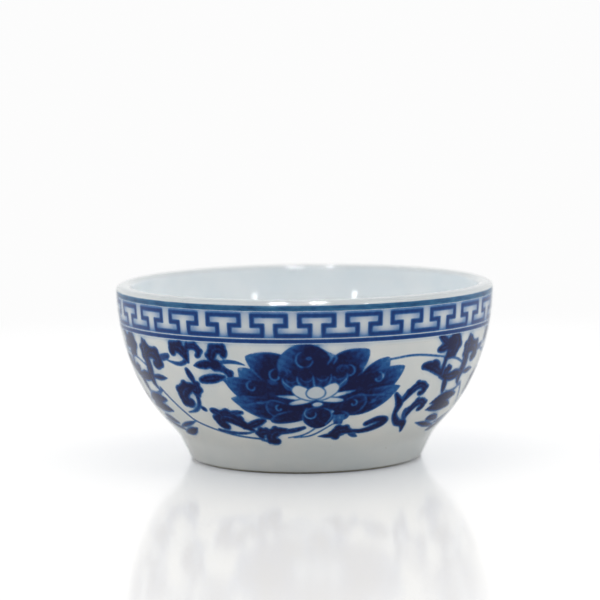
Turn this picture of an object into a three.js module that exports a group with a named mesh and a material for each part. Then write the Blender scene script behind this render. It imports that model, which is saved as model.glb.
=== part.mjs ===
// A small handleless porcelain teacup with a printed cobalt decoration, in millimetres.
// +Z is up. The origin is the centre of the foot, on the plane the cup stands on.
// Angles round the cup start at the front, -Y, and grow towards +X.
import * as THREE from "three";

// Cup
const HEIGHT = 37.5;
const RIM_RADIUS = 40;
const LIP_THICKNESS = 3.2;
const LIP_RISE = 1; // the lip's crown is a half ellipse this high
const FLOOR_TOP = 8.5; // inside of the cup, at its centre

// Outer wall: a quarter ellipse that stands upright at the rim
const WALL_ELLIPSE_RADIAL = 24;
const WALL_ELLIPSE_VERTICAL = 35.3;
const HOLLOW_POWER = 2.5; // 2 would make the hollow an ellipse; more squares its corner

// Foot: a cone that narrows downwards, hollowed from below
const FOOT_RADIUS = 24.45;
const FOOT_TAPER = 0.49; // radius gained for each millimetre of height
const CREASE_Z = 6.7; // height where the foot runs into the wall
const CREASE_BLEND = 1; // the crease is rounded where cone and wall are closer than this
const FOOT_HOLLOW_RADIUS = 21.9;
const FOOT_HOLLOW_TAPER = 0.15;
const FOOT_HOLLOW_DEPTH = 4.8;
const FOOT_HOLLOW_FILLET = 2.2;
const FOOT_CHAMFER = 0.35;
const BARE_EDGE = 0.4; // height of the unglazed clay at the foot

// Layers
const GLAZE = 0.25;
const LAYER_GAP = 0.05;
const PRINT = 0.08;
const PRINT_GAP = 0.1;

// The decoration is turned this far from the front, in degrees
const PRINT_ANGLE = 3.5;

// Printed bands, as heights above the table
const RIM_LINE = { top: 36.45, bottom: 35.35 };
const FRET = { top: 34.5, middle: 32.45, bottom: 30.4, line: 0.98 }; // heights are centre lines
const BORDER_LINE = { top: 29.7, bottom: 28.85 };
const FRET_COUNT = 26; // repeats round the cup
const FRET_STEM = 0.286; // width of a stem, as a share of one repeat
const FRET_STEP = 5; // longest piece of the line that stays straight, in degrees

// Lotus flowers and the leafy stems between them
const SIDES = ["front", "right", "left"]; // one flower on each, evenly round the cup
const FLOWER = { z: 19.2, halfWidth: 17.6, halfHeight: 9, petals: 11, notch: 0.22 };
const STEM = { low: 11.5, high: 25.5, waves: 1, halfWidth: 0.5, leaf: 1.6, leaves: 8 };
const STEM_CLEARANCE = 1; // between a flower and the end of a stem

const SEGMENTS = 48;
const TURN = 2 * Math.PI;

const clay = new THREE.MeshStandardMaterial({ color: 0xcdbf9f, roughness: 0.85, metalness: 0 });
const bodyGlaze = new THREE.MeshStandardMaterial({ color: 0xe9eef0, roughness: 0.06, metalness: 0 });
const footGlaze = new THREE.MeshStandardMaterial({ color: 0xe4eaec, roughness: 0.1, metalness: 0 });
const rimBlue = new THREE.MeshStandardMaterial({ color: 0x3a6186, roughness: 0.16, metalness: 0 });
const fretBlue = new THREE.MeshStandardMaterial({ color: 0x233f7d, roughness: 0.1, metalness: 0 });
const lotusBlue = new THREE.MeshStandardMaterial({ color: 0x2b4c8a, roughness: 0.1, metalness: 0 });
const stemBlue = new THREE.MeshStandardMaterial({ color: 0x35588f, roughness: 0.1, metalness: 0 });

const range = (count) => Array.from({ length: count }, (_, i) => i);
const spread = (from, to, count) => range(count).map((i) => from + ((to - from) * i) / (count - 1));
const mesh = (name, geometry, material) => {
  const made = new THREE.Mesh(geometry, material);
  made.name = name;
  return made;
};

// Radius of the outer face of the glaze at a height, without the lip.
function wallRadius(z) {
  const drop = Math.min((HEIGHT - z) / WALL_ELLIPSE_VERTICAL, 1);
  const wall = RIM_RADIUS - WALL_ELLIPSE_RADIAL * (1 - Math.sqrt(1 - drop * drop));
  if (z > HEIGHT / 2) return wall;
  const foot = FOOT_RADIUS + FOOT_TAPER * z;
  const near = Math.max(CREASE_BLEND - Math.abs(wall - foot), 0) / CREASE_BLEND;
  return Math.max(wall, foot) + (near * near * CREASE_BLEND) / 4;
}

// The glazed face as one line of [radius, height] points: up the outside, over the lip, down to the centre.
function glazedFace() {
  const lip = LIP_THICKNESS / 2;
  const crease = spread(CREASE_Z - 1.3, CREASE_Z + 1.3, 4);
  const start = Math.asin((HEIGHT - crease[crease.length - 1]) / WALL_ELLIPSE_VERTICAL);
  const end = Math.asin(LIP_RISE / WALL_ELLIPSE_VERTICAL);
  const wall = spread(start, end, 9).slice(1).map((t) => HEIGHT - WALL_ELLIPSE_VERTICAL * Math.sin(t));
  const outside = [BARE_EDGE, ...crease, ...wall].map((z) => [wallRadius(z), z]);
  const crown = spread(0, Math.PI, 7)
    .slice(1, -1)
    .map((t) => [RIM_RADIUS - lip + lip * Math.cos(t), HEIGHT - LIP_RISE + LIP_RISE * Math.sin(t)]);
  const hollowRadius = RIM_RADIUS - LIP_THICKNESS;
  const hollowDepth = HEIGHT - LIP_RISE - FLOOR_TOP;
  const inside = spread(0, Math.PI / 2, 12).slice(0, -1).map((t) => [
    hollowRadius * Math.pow(Math.cos(t), 2 / HOLLOW_POWER),
    HEIGHT - LIP_RISE - hollowDepth * Math.pow(Math.sin(t), 2 / HOLLOW_POWER),
  ]);
  return [...outside, ...crown, ...inside, [0, FLOOR_TOP]];
}

// The glazed face under the foot, from its centre to the edge of the bare clay.
function footHollowFace() {
  const wallAt = (z) => FOOT_HOLLOW_RADIUS - FOOT_HOLLOW_TAPER * z;
  const corner = wallAt(FOOT_HOLLOW_DEPTH);
  const fillet = spread(Math.PI / 2, Math.atan(FOOT_HOLLOW_TAPER), 4).map((t) => [
    corner - FOOT_HOLLOW_FILLET * (1 - Math.cos(t)),
    FOOT_HOLLOW_DEPTH - FOOT_HOLLOW_FILLET * (1 - Math.sin(t)),
  ]);
  return [[0, FOOT_HOLLOW_DEPTH], ...fillet, [wallAt(BARE_EDGE), BARE_EDGE]];
}

// Moves each point of a line to its left by a distance. An end on the axis stays on the axis.
function toTheLeft(line, distance) {
  return line.map(([r, z], i) => {
    const before = line[Math.max(i - 1, 0)];
    const after = line[Math.min(i + 1, line.length - 1)];
    const along = new THREE.Vector2(after[0] - before[0], after[1] - before[1]).normalize();
    if (r === 0) return [0, z + Math.sign(along.x) * distance];
    return [r - along.y * distance, z + along.x * distance];
  });
}

// Turns a closed outline, or one with both ends on the axis, round the cup's axis.
function turned(outline) {
  const points = outline.map(([r, z]) => new THREE.Vector2(r, z));
  return new THREE.LatheGeometry(points, SEGMENTS).rotateX(Math.PI / 2);
}

// A point over the outer wall. `outwards` is its distance from the glaze.
function onWall(angle, z, outwards) {
  const r = wallRadius(z) + outwards;
  return [r * Math.sin(angle), -r * Math.cos(angle), z];
}

function solid(points, faces) {
  const geometry = new THREE.BufferGeometry();
  geometry.setAttribute("position", new THREE.Float32BufferAttribute(points.flat(), 3));
  geometry.setIndex(faces);
  return geometry;
}

// The four corners of a printed line, cut across. `side` is the way to its left edge, as [angle, height].
function acrossLine(angle, z, halfWidth, side) {
  const corner = (left, outwards) =>
    onWall(angle + (left * halfWidth * side[0]) / wallRadius(z), z + left * halfWidth * side[1], outwards);
  const outer = PRINT_GAP + PRINT;
  return [corner(1, PRINT_GAP), corner(1, outer), corner(-1, outer), corner(-1, PRINT_GAP)];
}

// A solid through a row of four-cornered sections: a closed loop, or a strip with two ends.
function throughSections(sections, isLoop) {
  const faces = [];
  for (const i of range(isLoop ? sections.length : sections.length - 1)) {
    const here = 4 * i;
    const next = 4 * ((i + 1) % sections.length);
    for (const k of range(4)) {
      const other = (k + 1) % 4;
      faces.push(here + k, here + other, next + other, here + k, next + other, next + k);
    }
  }
  if (!isLoop) {
    const end = 4 * (sections.length - 1);
    faces.push(0, 2, 1, 0, 3, 2, end, end + 1, end + 2, end, end + 2, end + 3);
  }
  return solid(sections.flat(), faces);
}

// Fired clay: wall, floor and foot in one piece. Only the ring it stands on is bare.
function porcelainBody() {
  const depth = GLAZE + LAYER_GAP;
  const hollow = toTheLeft(footHollowFace(), depth);
  const wall = toTheLeft(glazedFace(), depth);
  const [insideEdge] = hollow[hollow.length - 1];
  const outsideEdge = wallRadius(0) - depth;
  const ring = [
    [insideEdge + FOOT_CHAMFER, 0],
    [outsideEdge - FOOT_CHAMFER, 0],
  ];
  return mesh("porcelain_body", turned([...hollow, ...ring, ...wall]), clay);
}

// Clear glaze over white clay, one coat from the foot, over the lip and across the inside.
function glazeCoat() {
  const face = glazedFace();
  return mesh("glaze_coat", turned([...toTheLeft(face, GLAZE).reverse(), ...face]), bodyGlaze);
}

// The separate patch of glaze inside the foot.
function baseGlaze() {
  const face = footHollowFace();
  return mesh("base_glaze", turned([...face, ...toTheLeft(face, GLAZE).reverse()]), footGlaze);
}

// A plain printed line all the way round, between two heights.
function linePrint(name, { top, bottom }, material) {
  const corner = (z, outwards) => [wallRadius(z) + outwards, z];
  const inner = PRINT_GAP;
  const outer = PRINT_GAP + PRINT;
  const outline = [corner(bottom, inner), corner(bottom, outer), corner(top, outer), corner(top, inner)];
  return mesh(name, turned([...outline, outline[0]]), material);
}

// One repeat of the fret's centre line as [share of the repeat, height] corners: a T, then one upside down.
function fretCorners() {
  const stem = FRET_STEM / 2;
  const bar = 0.5 - stem;
  return [
    [-bar, FRET.top],
    [bar, FRET.top],
    [bar, FRET.middle],
    [stem, FRET.middle],
    [stem, FRET.bottom],
    [1 - stem, FRET.bottom],
    [1 - stem, FRET.middle],
    [1 - bar, FRET.middle],
  ];
}

// The fret is one endless line. Its sections are mitred at the square corners.
function fretBorder() {
  const repeat = TURN / FRET_COUNT;
  const start = THREE.MathUtils.degToRad(PRINT_ANGLE);
  const oneRepeat = (i) => fretCorners().map(([share, z]) => [start + (i + share) * repeat, z]);
  const corners = range(FRET_COUNT).flatMap(oneRepeat);
  const [firstAngle, firstZ] = corners[0];
  const [lastAngle, lastZ] = corners[corners.length - 1];
  const line = [[lastAngle - TURN, lastZ], ...corners, [firstAngle + TURN, firstZ]];
  const leftOf = (from, to) => [-Math.sign(to[1] - from[1]), Math.sign(to[0] - from[0])];
  const sections = [];
  for (const i of range(corners.length)) {
    const [before, [angle, z], after] = line.slice(i, i + 3);
    const side = leftOf([angle, z], after);
    const lastSide = leftOf(before, [angle, z]);
    const mitre = [0, 1].map((k) => side[k] || lastSide[k]);
    sections.push(acrossLine(angle, z, FRET.line / 2, mitre));
    const pieces = Math.ceil(THREE.MathUtils.radToDeg(Math.abs(after[0] - angle)) / FRET_STEP);
    for (const a of spread(angle, after[0], pieces + 1).slice(1, -1)) {
      sections.push(acrossLine(a, z, FRET.line / 2, side));
    }
  }
  return mesh("fret_border_print", throughSections(sections, true), fretBlue);
}

// An open lotus flower: an oval whose edge is notched between the petals.
function lotusFlower(name, turn) {
  const spokes = 4 * FLOWER.petals;
  const rings = 5;
  const points = [];
  const faces = [];
  for (const outwards of [PRINT_GAP + PRINT, PRINT_GAP]) {
    points.push(onWall(turn, FLOWER.z, outwards));
    for (const ring of range(rings)) {
      for (const spoke of range(spokes)) {
        const t = (spoke / spokes) * TURN;
        const petal = 1 - FLOWER.notch * (1 - Math.abs(Math.sin((FLOWER.petals * t) / 2)));
        const size = (petal * (ring + 1)) / rings;
        const z = FLOWER.z + size * FLOWER.halfHeight * Math.sin(t);
        const across = (size * FLOWER.halfWidth * Math.cos(t)) / wallRadius(z);
        points.push(onWall(turn + across, z, outwards));
      }
    }
  }
  const sheet = 1 + rings * spokes;
  const at = (ring, spoke) => 1 + ring * spokes + (spoke % spokes);
  for (const s of range(spokes)) {
    faces.push(0, at(0, s), at(0, s + 1), sheet, sheet + at(0, s + 1), sheet + at(0, s));
    for (const ring of range(rings - 1)) {
      const [a, b, c, d] = [at(ring, s), at(ring + 1, s), at(ring + 1, s + 1), at(ring, s + 1)];
      faces.push(a, b, c, a, c, d, sheet + a, sheet + c, sheet + b, sheet + a, sheet + d, sheet + c);
    }
    const [edge, nextEdge] = [at(rings - 1, s), at(rings - 1, s + 1)];
    faces.push(edge, sheet + edge, sheet + nextEdge, edge, sheet + nextEdge, nextEdge);
  }
  return mesh(name, solid(points, faces), lotusBlue);
}

// A wavy stem from one flower to the next, thick where its leaves are.
function leafyStem(name, turn) {
  const reach = (FLOWER.halfWidth + STEM_CLEARANCE) / wallRadius(FLOWER.z);
  const start = turn + reach;
  const end = turn + TURN / SIDES.length - reach;
  const middle = (STEM.low + STEM.high) / 2;
  const swing = (STEM.high - STEM.low) / 2;
  const bends = STEM.waves * TURN;
  const sections = spread(0, 1, 6 * STEM.leaves + 1).map((t) => {
    const z = middle + swing * Math.sin(bends * t);
    const rise = swing * bends * Math.cos(bends * t);
    const run = (end - start) * wallRadius(z);
    const length = Math.hypot(rise, run);
    const leaf = Math.pow(Math.sin(STEM.leaves * Math.PI * t), 2);
    const halfWidth = STEM.halfWidth + STEM.leaf * leaf;
    return acrossLine(start + (end - start) * t, z, halfWidth, [-rise / length, run / length]);
  });
  return mesh(name, throughSections(sections, false), stemBlue);
}

const teacup = new THREE.Group();
teacup.add(porcelainBody());
teacup.add(glazeCoat());
teacup.add(baseGlaze());
teacup.add(linePrint("rim_line_print", RIM_LINE, rimBlue));
teacup.add(fretBorder());
teacup.add(linePrint("border_line_print", BORDER_LINE, fretBlue));
SIDES.forEach((side, i) => {
  const turn = THREE.MathUtils.degToRad(PRINT_ANGLE) + (i * TURN) / SIDES.length;
  teacup.add(lotusFlower(`lotus_flower_print_${side}`, turn));
  teacup.add(leafyStem(`leafy_stem_print_${side}`, turn));
});

export default teacup;
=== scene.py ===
# A blue and white porcelain teacup. Lengths are in millimetres and turned into metres where meshes are made.
import math

import bpy
import numpy as np
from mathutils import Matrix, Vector


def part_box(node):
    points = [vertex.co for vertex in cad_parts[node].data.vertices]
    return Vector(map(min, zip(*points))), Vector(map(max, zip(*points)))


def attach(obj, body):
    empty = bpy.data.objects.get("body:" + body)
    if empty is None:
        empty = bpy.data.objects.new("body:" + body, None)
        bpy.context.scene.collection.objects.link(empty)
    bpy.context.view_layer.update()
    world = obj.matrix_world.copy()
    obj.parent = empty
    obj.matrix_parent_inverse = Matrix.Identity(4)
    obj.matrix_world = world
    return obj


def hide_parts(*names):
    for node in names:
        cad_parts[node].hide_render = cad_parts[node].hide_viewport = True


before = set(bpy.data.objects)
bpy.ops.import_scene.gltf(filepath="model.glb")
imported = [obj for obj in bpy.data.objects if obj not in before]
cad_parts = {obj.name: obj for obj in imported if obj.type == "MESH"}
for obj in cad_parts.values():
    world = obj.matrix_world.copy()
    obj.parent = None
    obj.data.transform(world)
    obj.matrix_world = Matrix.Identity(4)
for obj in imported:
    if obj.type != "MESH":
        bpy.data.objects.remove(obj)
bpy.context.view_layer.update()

MM = 0.001
TURN = 2 * math.pi


def heights(node):
    """The lowest and highest points of a CAD node, in millimetres."""
    low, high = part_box(node)
    return low[2] / MM, high[2] / MM


def diameter(node):
    """How far a CAD node reaches across the cup, in millimetres."""
    low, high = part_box(node)
    return (high[0] - low[0]) / MM


# Cup, as the CAD part has it
HEIGHT = heights("glaze_coat")[1]
RIM_RADIUS = diameter("glaze_coat") / 2
FOOT_HOLLOW_DEPTH = heights("base_glaze")[1]
BARE_EDGE = heights("glaze_coat")[0]
RIM_LINE = heights("rim_line_print")
FRET = heights("fret_border_print")
BORDER_LINE = heights("border_line_print")
REPEATS = 3  # lotus flowers round the cup
FRET_REPEATS = 26  # T shapes round the cup

# Outer wall: a quarter ellipse that runs into a conical foot
ELLIPSE_RADIAL = 24.0
ELLIPSE_VERTICAL = 35.3
FOOT_RADIUS = 24.45
FOOT_TAPER = 0.49
CREASE_BLEND = 1.6  # the crease is rounded where cone and bowl are closer than this

# Lip, hollow and underside
LIP = 3.2
LIP_RISE = 1.0  # the lip's crown is a half ellipse this high
FLOOR_TOP = 8.5
HOLLOW_POWER = 2.5
FOOT_HOLLOW_RADIUS = 21.9
FOOT_HOLLOW_TAPER = 0.15
FOOT_HOLLOW_FILLET = 2.2
FOOT_CHAMFER = 0.35

# Layers
GLAZE = 0.25
LAYER_GAP = 0.05  # between the glaze and the clay
PRINT_PROUD = 0.018  # how far a print stands out of the glaze
PRINT_DEPTH = 0.05  # how far its back lies in the glaze

# How finely the turned pieces are divided
SEGMENTS = 360
WALL_POINTS = 110
LIP_POINTS = 25
HOLLOW_POINTS = 90
FOOT_POINTS = 12
FOOT_SIDE_POINTS = 6


# Wall: its shape, and the way from the unrolled sheet to the cup
def wall_radius(z):
    """Radius of the outside of the glaze at a height, without the lip."""
    z = np.asarray(z, float)
    drop = np.clip((HEIGHT - z) / ELLIPSE_VERTICAL, 0, 1)
    bowl = RIM_RADIUS - ELLIPSE_RADIAL * (1 - np.sqrt(1 - drop * drop))
    foot = FOOT_RADIUS + FOOT_TAPER * z
    near = np.clip(CREASE_BLEND - np.abs(bowl - foot), 0, None) / CREASE_BLEND
    joined = np.maximum(bowl, foot) + near * near * CREASE_BLEND / 4
    return np.where(z > HEIGHT / 2, bowl, joined)


SHEET_TOP = BORDER_LINE[0]  # height of v = 0, the lower edge of the border line
SHEET_RADIUS = 37.0  # the sheet keeps its true width at this radius
WALL_SAMPLES = 4000
SLOPE_STEP = 0.05  # the wall's slope is measured this far up and down


def wall_arc():
    """Heights from the lip to the foot, and where each one is on the sheet."""
    z = np.linspace(HEIGHT, 0, WALL_SAMPLES)
    run = np.concatenate([[0], np.cumsum(np.hypot(np.diff(z), np.diff(wall_radius(z))))])
    return z, run - np.interp(-SHEET_TOP, -z, run)


ARC_Z, ARC_RUN = wall_arc()


def on_wall(u, v, proud, turn=0.0):
    """Points of the cup, in metres, for places on the sheet. They stand out of the glaze by `proud`."""
    z = np.interp(v, ARC_RUN, ARC_Z)
    slope = (wall_radius(z + SLOPE_STEP) - wall_radius(z - SLOPE_STEP)) / (2 * SLOPE_STEP)
    tilt = np.sqrt(1 + slope * slope)
    r = wall_radius(z) + proud / tilt
    angle = u / SHEET_RADIUS + turn
    return np.stack([r * np.sin(angle), -r * np.cos(angle), z - proud * slope / tilt], axis=-1) * MM


# Pattern: the decoration on the unrolled wall
#
# u runs round the wall and v down it, in millimetres, with u = 0 at the front and v = 0 at the frieze's top.
# Ink is how much cobalt lies at a point: 0 is bare white glaze, 1 is the darkest navy.

STEP = 0.16  # spacing of the sheet's points
BLUR = 0.3  # how far the edge of a stroke bleeds
RIM = 0.7  # how far in a stroke reaches full strength
RIM_INK = 0.45
HAZE = 0.4  # strength of the haze that cobalt spreads round itself
HAZE_REACH = 0.9
STREAK_INK = 0.12  # strength of the brush's streaks in a petal
STREAKS = 4.6  # how close the streaks are
CURVE_PIECES = 7  # straight pieces between two points of a curve


def smooth(x):
    """A soft step: 0 below 0, 1 above 1."""
    x = np.clip(x, 0, 1)
    return x * x * (3 - 2 * x)


def blurred(grid):
    """The grid with each value mixed with its neighbours'. Its left and right edges join up."""
    tall = np.pad(grid, ((1, 1), (0, 0)), mode="edge")
    grid = (tall[:-2] + 2 * grid + tall[2:]) / 4
    wide = np.pad(grid, ((0, 0), (1, 1)), mode="wrap")
    return (wide[:, :-2] + 2 * grid + wide[:, 2:]) / 4


def curve(points, closed=False):
    """A smooth line through the points. A point given twice running is a sharp corner."""
    p = np.array(points, float)
    ends = (p[-1:], p[:2]) if closed else (2 * p[:1] - p[1:2], 2 * p[-1:] - p[-2:-1])
    p = np.concatenate([ends[0], p, ends[1]])
    t = np.linspace(0, 1, CURVE_PIECES, endpoint=False)[:, None]
    made = []
    for a, b, c, d in zip(p, p[1:], p[2:], p[3:]):
        square = (2 * a - 5 * b + 4 * c - d) * t**2
        cube = (3 * b - a - 3 * c + d) * t**3
        made.append(0.5 * (2 * b + (c - a) * t + square + cube))
    line = np.concatenate(made)
    return line if closed else np.concatenate([line, p[-2:-1]])


def curl(start, heading, length, bends, pieces=26):
    """A line from a point and a heading in degrees. It bends by degrees per mm, and tightens on its way."""
    s = np.linspace(0, length, pieces)
    ease = (s / length) ** 2
    bend = bends[0] + (bends[1] - bends[0]) * ease
    step = np.diff(s)
    turned_by = np.cumsum((bend[1:] + bend[:-1]) / 2 * step)
    angle = np.radians(heading + np.concatenate([[0], turned_by]))
    x = np.concatenate([[0], np.cumsum(np.cos(angle[:-1]) * step)])
    y = np.concatenate([[0], np.cumsum(np.sin(angle[:-1]) * step)])
    return np.array(start) + np.stack([x, -y], axis=1)


def widths_along(line, widths):
    """Half widths, given evenly along the line, at each of its points."""
    run = np.concatenate([[0], np.cumsum(np.hypot(*np.diff(line, axis=0).T))])
    w = np.atleast_1d(np.array(widths, float))
    return np.interp(run, np.linspace(0, run[-1], len(w)), w)


NO_LENGTH = 1e-12  # a piece of a line shorter than this (squared) is left out


def to_line(u, v, line, half):
    """Signed distance to a stroke of changing width: less than 0 inside it."""
    best = np.full(u.shape, np.inf)
    for (ax, ay), (bx, by), wa, wb in zip(line, line[1:], half, half[1:]):
        dx, dy = bx - ax, by - ay
        size = dx * dx + dy * dy
        if size < NO_LENGTH:
            continue
        t = np.clip(((u - ax) * dx + (v - ay) * dy) / size, 0, 1)
        best = np.minimum(best, np.hypot(u - ax - t * dx, v - ay - t * dy) - (wa + t * (wb - wa)))
    return best


def to_outline(u, v, outline):
    """The same for a closed outline."""
    ring = np.concatenate([outline, outline[:1]])
    edge = to_line(u, v, ring, np.zeros(len(ring)))
    inside = np.zeros(u.shape, bool)
    for (ax, ay), (bx, by) in zip(ring, ring[1:]):
        if ay != by:
            crosses = (ay > v) != (by > v)
            inside ^= crosses & (u < (bx - ax) * (v - ay) / (by - ay) + ax)
    return np.where(inside, -edge, edge)


class Sheet:
    """A part of the unrolled wall, which repeats round the cup, and the ink at each of its points."""

    def __init__(self, repeat, top, bottom, step, step_along):
        columns = int(round(repeat / step_along)) + 1
        rows = int(round((bottom - top) / step)) + 1
        u = np.linspace(-repeat / 2, repeat / 2, columns)
        self.u, self.v = np.meshgrid(u, np.linspace(top, bottom, rows))
        self.ink = np.zeros(self.u.shape)
        self.repeat = repeat

    def window(self, line, margin):
        """The rows and columns that a line falls in, or None."""
        low, high = line.min(axis=0) - margin, line.max(axis=0) + margin
        columns = np.nonzero((self.u[0] >= low[0]) & (self.u[0] <= high[0]))[0]
        rows = np.nonzero((self.v[:, 0] >= low[1]) & (self.v[:, 0] <= high[1]))[0]
        if not len(columns) or not len(rows):
            return None
        return slice(rows[0], rows[-1] + 1), slice(columns[0], columns[-1] + 1)

    def each(self, line, margin):
        """The windows that a line falls in, on this repeat and its neighbours."""
        for shift in (0, -self.repeat, self.repeat):
            moved = line + np.array([shift, 0])
            window = self.window(moved, margin)
            if window:
                yield window, moved, self.u[window], self.v[window]

    def stroke(self, line, half, ink=1.0, rim=RIM_INK, over=False):
        """Adds a brush stroke, paler at its edges."""
        half = widths_along(line, half)
        for window, moved, u, v in self.each(line, max(half) + 1):
            away = to_line(u, v, moved, half)
            self.lay(window, away, ink, min(rim, ink), over)

    def area(self, outline, ink=1.0, rim=RIM_INK, over=False):
        """Fills an outline, paler at its edge."""
        for window, moved, u, v in self.each(outline, 1):
            self.lay(window, to_outline(u, v, moved), ink, min(rim, ink), over)

    def lay(self, window, away, ink, rim, over):
        """Adds ink where `away`, the distance to a shape, is less than 0. `over` hides what is there."""
        cover = smooth(0.5 - away / BLUR)
        tone = rim + (ink - rim) * smooth(-away / RIM)
        old = self.ink[window]
        self.ink[window] = old * (1 - cover) + tone * cover if over else np.maximum(old, tone * cover)

    def soften(self, times):
        """Lets the ink run a little."""
        for _ in range(times):
            self.ink = blurred(self.ink)

    def haze(self, top, bottom=None, strength=HAZE):
        """Spreads a faint haze round the ink, and from the lines that end at `top` and start at `bottom`."""
        spread = np.maximum(self.ink, self.v < top)
        if bottom is not None:
            spread = np.maximum(spread, self.v > bottom)
        step = self.v[1, 0] - self.v[0, 0]
        for _ in range(int(round(2 * (HAZE_REACH / step) ** 2))):
            spread = blurred(spread)
        self.ink = np.maximum(self.ink, strength * spread) * (self.v > top)
        if bottom is not None:
            self.ink *= self.v < bottom

    def reserve(self, line, half, left):
        """Scratches a pale line through the ink. `left` is the share of ink that stays."""
        half = widths_along(line, half)
        for window, moved, u, v in self.each(line, max(half) + 1):
            cover = smooth(0.5 - to_line(u, v, moved, half) / BLUR)
            self.ink[window] *= 1 - cover * (1 - left)

    def petal(self, outline, tip, base, light, reach, rim=0.52):
        """A petal over what is there: dark at its base and lighter (`light`) at its tip, with a pale edge."""
        tip, base = np.array(tip, float), np.array(base, float)
        axis = (tip - base) / np.dot(tip - base, tip - base)
        for window, moved, u, v in self.each(outline, 1):
            shift = moved[0, 0] - outline[0, 0]
            along = (u - shift - base[0]) * axis[0] + (v - base[1]) * axis[1]
            across = ((u - shift - base[0]) * axis[1] - (v - base[1]) * axis[0]) / np.hypot(*axis)
            fade = smooth((along - 1 + reach) / reach)
            streak = STREAK_INK * np.sin(STREAKS * across) * fade * (1.4 - fade)
            tone = 1 + (light - 1) * fade + streak
            edge = 1 + (rim - 1) * smooth(1.5 * along - 0.15)
            self.lay(window, to_outline(u, v, moved), tone, np.minimum(tone, edge), over=True)


def spiral(centre, radius, turns, start, shrink):
    """A line that winds in from a radius."""
    t = np.linspace(0, 1, 24)
    angle = np.radians(start + 360 * turns * t)
    r = radius * (1 - (1 - shrink) * t)
    return np.stack([centre[0] + r * np.cos(angle), centre[1] - r * np.sin(angle)], axis=1)


def oval(u, v, half_u, half_v, tilt=0.0):
    """The outline of an oval, tilted by degrees."""
    t = np.linspace(0, 2 * np.pi, 28, endpoint=False)
    x, y = half_u * np.cos(t), half_v * np.sin(t)
    a = np.radians(tilt)
    return np.stack([u + x * np.cos(a) + y * np.sin(a), v - x * np.sin(a) + y * np.cos(a)], axis=1)


def arc(centre, radius, start, end, count):
    """Points of an arc between two angles in radians."""
    t = np.linspace(start, end, count)
    return [(centre[0] + radius * math.cos(a), centre[1] + radius * math.sin(a)) for a in t]


# Decoration: a lotus with scrolling leaves, in the way such cups are commonly painted
FLOWER_AXIS = 2.1  # where the flower stands on the sheet
FLOWER_TILT = 3.4  # degrees, right side up
FLOWER_MIDDLE = 11.0  # how far down the sheet its small white lotus is
PETAL_POINTS = 22  # points along each side of a petal
LOTUS_HAZE = 0.16  # bare glaze amid so much cobalt turns a little blue
TIGHT = 40  # a leaf that bends more than this, in degrees per mm, is rolled up


def in_flower(points):
    """Points given from the flower's axis, turned and moved to their place on the sheet."""
    x, y = np.array(points, float).T
    a = math.radians(FLOWER_TILT)
    down = y - FLOWER_MIDDLE
    return np.stack([FLOWER_AXIS + x * math.cos(a) + down * math.sin(a),
                     FLOWER_MIDDLE - x * math.sin(a) + down * math.cos(a)], axis=1)


def petal_outline(base, tip, half, lean=0.0, blunt=0.75):
    """A petal from its base to its tip. `lean` bows it sideways, and a low `blunt` rounds its tip off."""
    base, tip = np.array(base, float), np.array(tip, float)
    t = (1 - np.cos(np.linspace(0, math.pi, PETAL_POINTS))) / 2
    along = tip - base
    across = np.array([-along[1], along[0]]) / np.hypot(*along)
    middle = base + t[:, None] * along + (lean * np.sin(math.pi * t))[:, None] * across
    swell = t**0.5 * (1 - t) ** blunt
    width = half * swell / swell.max()
    return np.concatenate([middle + width[:, None] * across, (middle - width[:, None] * across)[-2:0:-1]])


def paint_petal(sheet, base, tip, half, lean=0.0, blunt=0.75, light=0.5, reach=0.5, curl_at=None):
    """A petal of the flower. `curl_at` is how far along it a pale curl is drawn."""
    outline = in_flower(petal_outline(base, tip, half, lean, blunt))
    sheet.petal(outline, *in_flower([tip, base]), light, reach)
    if curl_at is not None:
        side = 1 if tip[0] < base[0] else -1
        middle = np.array(base) + curl_at * (np.array(tip) - np.array(base))
        swirl = spiral(middle, 0.42 * half, 0.7 * side, 90, 0.4)
        sheet.reserve(in_flower(swirl), (0.08, 0.24, 0.16, 0.2), left=0.42)


def paint_flower(sheet):
    """The lotus, from its back petals to the seed pod."""
    sheet.area(in_flower(oval(0, 10.2, 12, 5.6)), ink=0.97)
    for side in (-1, 1):
        def petal(base, tip, half, lean, **settings):
            mirrored = [(side * x, y) for x, y in (base, tip)]
            paint_petal(sheet, *mirrored, half, lean * side, **settings)

        petal((10, 9.5), (15.2, 4.4), 2.4, 0.3, light=0.42, reach=0.75)
        if side < 0:
            petal((4, 9.5), (13.3, 1.9), 3.7, -1, light=0.46, reach=0.42, curl_at=0.4)
        else:
            petal((4, 9.5), (10.9, 2.2), 3.5, -1.1, light=0.5, reach=0.42, curl_at=0.4)
        petal((7, 10.5), (18.9, 6.9), 3.2, 1.2, light=0.48, reach=0.55, curl_at=0.5)
        petal((8, 13.5), (18.4, 11.3), 2.2, 0.6, light=0.45, reach=0.75)
        petal((3, 14.2), (16.8, 13.4), 2.5, 0.9, light=0.6, reach=0.5)
        petal((4.6, 15.6), (10.8, 12.9), 2.2, 0.4, blunt=0.4, light=0.85, reach=0.5, curl_at=0.55)
    paint_petal(sheet, (-2, 16.2), (-10.6, 17.3), 1.6, lean=0.3, blunt=0.5, light=0.85)
    paint_petal(sheet, (3.6, 16), (7.2, 17.4), 1.2, lean=0.2, blunt=0.4, light=0.8)
    paint_pale_strokes(sheet)
    paint_calyx(sheet)
    paint_pod(sheet)
    paint_rolled_petal(sheet)


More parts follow.
